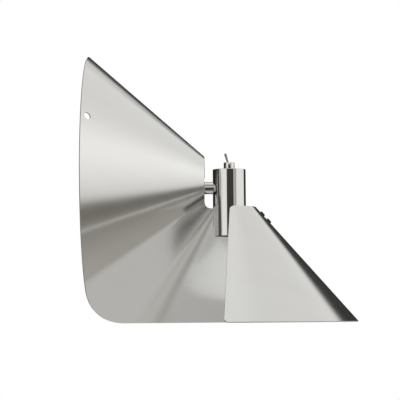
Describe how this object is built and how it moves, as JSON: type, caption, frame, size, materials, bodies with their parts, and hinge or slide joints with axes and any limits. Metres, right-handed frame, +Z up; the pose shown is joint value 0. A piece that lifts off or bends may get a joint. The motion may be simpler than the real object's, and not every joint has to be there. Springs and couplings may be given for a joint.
{
  "type": "wall sconce",
  "caption": "Wall sconce with a bent brushed-steel sheet shade open to the wall and downward, a short stem, a polished lamp housing and a toggle switch.",
  "frame": {"origin": "centre of the wall plate's back face, on the stem's axis", "axes": "+X away from the wall along the stem, +Z up, +Y to the side where the wall-side cone ends"},
  "size_m": [0.2853, 0.2656, 0.2833],
  "materials": {
    "brushed_steel": "sheet brushed in one direction, clear and bare",
    "polished_steel": "bright polished tube",
    "polished_nickel": "bright nickel plate",
    "zinc_steel": "dull zinc plate",
    "black_screw": "blackened screw, satin",
    "brass_parts": "plain brass",
    "tinned_brass": "tinned brass",
    "white_nylon": "moulded nylon",
    "red_phenolic": "moulded phenolic",
    "black_phenolic": "moulded phenolic",
    "brown_insulation": "soft insulation",
    "blue_insulation": "soft insulation",
    "green_insulation": "soft insulation"
  },
  "bodies": {
    "fixture": {"wall_plate": "zinc_steel", "terminal_block": "white_nylon", "terminal_screws": "zinc_steel", "block_screw": "zinc_steel", "earth_washer": "brass_parts", "earth_screw": "brass_parts", "canopy": "brushed_steel", "canopy_screws": "polished_steel", "canopy_washer": "zinc_steel", "canopy_nut": "zinc_steel", "canopy_nipple": "zinc_steel", "stem_tube": "polished_steel", "housing": "polished_steel", "housing_nipple": "zinc_steel", "saddle_washer": "zinc_steel", "housing_nut": "zinc_steel", "switch_body": "red_phenolic", "switch_bushing": "polished_nickel", "switch_inner_nut": "polished_nickel", "switch_washer": "polished_nickel", "switch_dress_nut": "polished_nickel", "switch_lugs": "tinned_brass", "lampholder_bracket": "zinc_steel", "lampholder_body": "black_phenolic", "lampholder_sleeve": "brass_parts", "lampholder_contact": "brass_parts", "lampholder_nipple": "zinc_steel", "lampholder_nut": "zinc_steel", "live_lead": "brown_insulation", "neutral_lead": "blue_insulation", "earth_lead": "green_insulation", "switched_lead": "brown_insulation", "shade": "brushed_steel", "shade_bracket": "zinc_steel", "shade_screws": "black_screw", "shade_nuts": "zinc_steel", "bracket_screws": "zinc_steel"},
    "lever": {"switch_lever": "polished_nickel"}
  },
  "joints": [
    {"name": "switch_toggle", "type": "hinge", "parent": "fixture", "child": "lever", "pos_m": [0.15052, 0, 0.0225], "axis": [0, 1, 0], "range_deg": [0, 32]}
  ]
}
